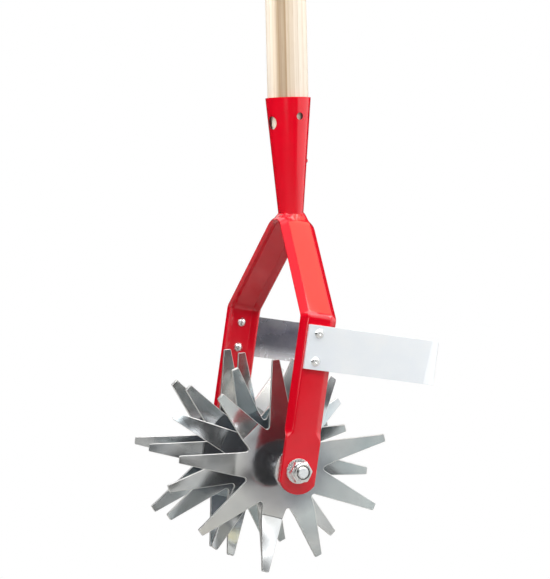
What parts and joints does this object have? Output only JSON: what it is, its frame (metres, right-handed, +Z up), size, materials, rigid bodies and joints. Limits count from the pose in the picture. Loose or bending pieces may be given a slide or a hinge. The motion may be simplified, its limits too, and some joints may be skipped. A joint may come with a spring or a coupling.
{
  "type": "rotary hand cultivator",
  "caption": "Long-handled rotary cultivator: a red channel fork carries free-spinning star wheels on a bolt, with a riveted U-shaped weeding blade and a wooden handle in a conical socket.",
  "frame": {"origin": "on the handle's axis at the mouth of its socket", "axes": "+Z up the handle, +X towards the blade's cross strip, Y along the axle with the nut at the -Y end"},
  "size_m": [0.1753, 0.1693, 1.5145],
  "materials": {
    "wood": "smooth pale wood",
    "red_paint": "glossy red coating",
    "star_zinc": "bright zinc plating",
    "blade_zinc": "bright zinc plating",
    "fastener_zinc": "bright zinc plating",
    "ring_nylon": "dull"
  },
  "bodies": {
    "frame": {"handle": "wood", "handle_socket": "red_paint", "socket_weld": "red_paint", "fork": "red_paint", "weeding_blade": "blade_zinc", "rivet_near_upper": "fastener_zinc", "rivet_near_lower": "fastener_zinc", "rivet_far_upper": "fastener_zinc", "rivet_far_lower": "fastener_zinc", "axle_bolt": "fastener_zinc", "nut_washer": "fastener_zinc", "lock_nut": "fastener_zinc", "lock_ring": "ring_nylon", "head_washer": "fastener_zinc", "thrust_washer_near": "fastener_zinc", "thrust_washer_far": "fastener_zinc", "end_spacer_near": "fastener_zinc", "spacer_1_2": "fastener_zinc", "spacer_2_3": "fastener_zinc", "spacer_3_4": "fastener_zinc", "end_spacer_far": "fastener_zinc"},
    "star_1_wheel": {"star_1": "star_zinc"},
    "star_2_wheel": {"star_2": "star_zinc"},
    "star_3_wheel": {"star_3": "star_zinc"},
    "star_4_wheel": {"star_4": "star_zinc"}
  },
  "joints": [
    {"name": "star_1_spin", "type": "hinge", "parent": "frame", "child": "star_1_wheel", "pos_m": [-0.02857, -0.051, -0.24528], "axis": [0, 1, 0], "continuous": true},
    {"name": "star_2_spin", "type": "hinge", "parent": "frame", "child": "star_2_wheel", "pos_m": [-0.02857, -0.017, -0.24528], "axis": [0, 1, 0], "continuous": true},
    {"name": "star_3_spin", "type": "hinge", "parent": "frame", "child": "star_3_wheel", "pos_m": [-0.02857, 0.017, -0.24528], "axis": [0, 1, 0], "continuous": true},
    {"name": "star_4_spin", "type": "hinge", "parent": "frame", "child": "star_4_wheel", "pos_m": [-0.02857, 0.051, -0.24528], "axis": [0, 1, 0], "continuous": true}
  ]
}
